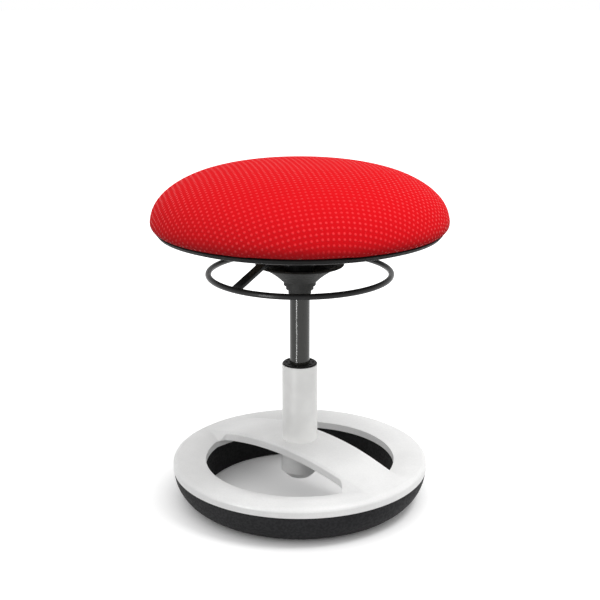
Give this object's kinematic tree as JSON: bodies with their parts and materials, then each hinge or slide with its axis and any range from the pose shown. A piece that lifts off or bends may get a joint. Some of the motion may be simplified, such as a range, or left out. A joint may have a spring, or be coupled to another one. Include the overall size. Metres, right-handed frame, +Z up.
{
  "type": "wobble stool",
  "caption": "Height-adjustable wobble stool: domed red mesh seat on a gas spring with a ring lever, over a white arched base on a convex black rocker.",
  "frame": {"origin": "on the floor under the column's axis, at the middle of the stool's bounding box", "axes": "+Z up along the column; +X to the right as seen from the front, the front towards -Y"},
  "size_m": [0.4056, 0.4055, 0.4796],
  "materials": {
    "rocker": "matt black rubber-like ring",
    "cover": "white moulded plastic, satin",
    "screw": "black oxide",
    "column": "white powder coat",
    "steel": "plain steel",
    "bush": "black moulded plastic",
    "bearing": "polished bearing steel",
    "nylon": "natural nylon",
    "rod": "hard chromed steel",
    "zinc": "zinc plated steel",
    "spring_steel": "phosphated spring steel",
    "seal": "black rubber",
    "piston": "turned aluminium",
    "tube": "semi-gloss black",
    "mechanism": "black powder coat",
    "lever": "satin black powder coat",
    "shroud": "matt black plastic",
    "plywood": "bare plywood",
    "shell": "black moulded plastic",
    "foam": null,
    "cloth": "red dotted mesh cloth"
  },
  "bodies": {
    "base": {"rocker_ring": "rocker", "base_cover": "cover", "base_screws": "screw", "column_tube": "column", "column_floor": "steel", "guide_bush": "bush", "bearing_lower_race": "bearing", "bearing_balls": "bearing", "bearing_cage": "nylon"},
    "rod": {"bearing_upper_race": "bearing", "rubber_buffer": "seal", "piston_rod": "rod", "rod_washer": "zinc", "retaining_clip": "spring_steel", "piston": "piston", "piston_ring": "nylon", "piston_nut": "zinc"},
    "seat": {"gas_spring_tube": "tube", "rod_guide": "nylon", "rod_seal": "seal", "valve_body": "piston", "taper_socket": "mechanism", "mechanism_housing": "mechanism", "pivot_pin": "zinc", "bellows_shroud": "shroud", "seat_board": "plywood", "seat_bolts": "screw", "t_nuts": "zinc", "seat_shell": "shell", "shell_screws": "screw", "seat_foam": "foam", "seat_cover": "cloth"},
    "lever": {"release_yoke": "mechanism", "lever_arm_front": "lever", "lever_arm_rear": "lever", "lever_ring": "lever"},
    "valve": {"release_pin": "rod"}
  },
  "joints": [
    {"name": "seat_swivel", "type": "hinge", "parent": "base", "child": "rod", "pos_m": [0, 0, 0.052], "axis": [0, 0, 1], "continuous": true},
    {"name": "seat_height", "type": "slide", "parent": "rod", "child": "seat", "axis": [0, 0, 1], "range_m": [-0.09, 0]},
    {"name": "lever_lift", "type": "hinge", "parent": "seat", "child": "lever", "pos_m": [-0.02046, -0.02194, 0.3665], "axis": [-0.7314, 0.682, 0], "range_deg": [0, 6], "stiffness_Nm_per_rad": 3, "springref_deg": -6.88},
    {"name": "valve_press", "type": "slide", "parent": "seat", "child": "valve", "axis": [0, 0, -1], "range_m": [0, 0.00316]}
  ],
  "couplings": [
    {"joint": "valve_press", "follows": "lever_lift", "m_per_rad": 0.03}
  ]
}
